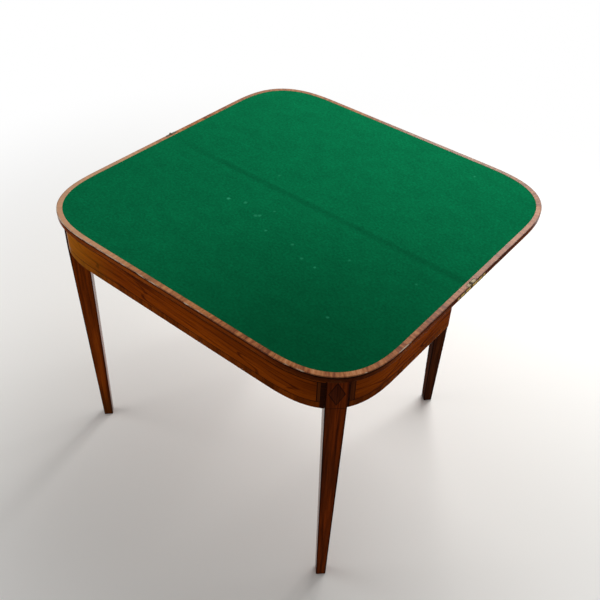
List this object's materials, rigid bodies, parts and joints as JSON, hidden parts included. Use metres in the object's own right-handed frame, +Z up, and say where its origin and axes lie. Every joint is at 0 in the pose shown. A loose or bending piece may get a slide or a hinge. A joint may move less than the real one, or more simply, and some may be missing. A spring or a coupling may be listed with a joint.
{
  "type": "fold-over card table",
  "caption": "Fold-over card table, open: rounded baize-lined top with crossbanded edge, hinged leaf resting on tapered legs that swing out on gates.",
  "frame": {"origin": "on the floor, under the middle of the line where the two leaves meet; with the leaf open this is the middle of the bounding box base", "axes": "+X to the right of someone who sits at the front, along the line where the leaves meet; +Y from the front to the back, over the folding leaf; +Z up"},
  "size_m": [0.914, 0.884, 0.7143],
  "materials": {
    "mahogany_top": "polished, slightly worn at the arris",
    "mahogany_frieze": "polished, with dark stringing",
    "mahogany_leg": "polished, dark",
    "crossbanding": "polished cross-grain veneer, faded",
    "lozenge_veneer": "polished veneer inlay",
    "pine": "planed, unpolished",
    "beech": "planed, stained",
    "baize": "fine wool baize, matt",
    "brass": "aged, rubbed bright on the knuckles",
    "steel": "dull, old"
  },
  "bodies": {
    "frame": {"fixed_leaf": "mahogany_top", "fixed_leaf_banding": "crossbanding", "fixed_leaf_baize": "baize", "front_rail": "mahogany_frieze", "left_side_rail": "mahogany_frieze", "right_side_rail": "mahogany_frieze", "front_left_leg": "mahogany_leg", "front_left_leg_lozenge": "lozenge_veneer", "front_right_leg": "mahogany_leg", "front_right_leg_lozenge": "lozenge_veneer", "inner_back_rail": "pine", "medial_brace": "pine", "left_glue_block": "pine", "right_glue_block": "pine", "gate_knuckle_block": "beech", "knuckle_block_screw_1": "steel", "knuckle_block_screw_2": "steel", "left_gate_pin": "steel", "right_gate_pin": "steel", "left_hinge_fixed_plate": "brass", "right_hinge_fixed_plate": "brass", "left_hinge_fixed_screw_1": "brass", "left_hinge_fixed_screw_2": "brass", "right_hinge_fixed_screw_1": "brass", "right_hinge_fixed_screw_2": "brass", "left_front_top_screw": "steel", "left_side_top_screw": "steel", "left_back_top_screw": "steel", "right_front_top_screw": "steel", "right_side_top_screw": "steel", "right_back_top_screw": "steel", "left_hinge_pin": "brass", "right_hinge_pin": "brass"},
    "folding_leaf": {"folding_leaf": "mahogany_top", "folding_leaf_banding": "crossbanding", "folding_leaf_baize": "baize", "left_hinge_folding_plate": "brass", "right_hinge_folding_plate": "brass", "left_hinge_folding_screw_1": "brass", "left_hinge_folding_screw_2": "brass", "right_hinge_folding_screw_1": "brass", "right_hinge_folding_screw_2": "brass"},
    "left_gate": {"left_fly_rail": "beech", "left_swing_leg": "mahogany_leg"},
    "right_gate": {"right_fly_rail": "beech", "right_swing_leg": "mahogany_leg"}
  },
  "joints": [
    {"name": "leaf_fold", "type": "hinge", "parent": "frame", "child": "folding_leaf", "pos_m": [0, 0, 0.7113], "axis": [1, 0, 0], "range_deg": [0, 180]},
    {"name": "left_gate_swing", "type": "hinge", "parent": "frame", "child": "left_gate", "pos_m": [-0.0315, -0.034, 0.6525], "axis": [0, 0, 1], "range_deg": [-36, 49]},
    {"name": "right_gate_swing", "type": "hinge", "parent": "frame", "child": "right_gate", "pos_m": [0.0315, -0.034, 0.6525], "axis": [0, 0, 1], "range_deg": [-49, 36]}
  ]
}
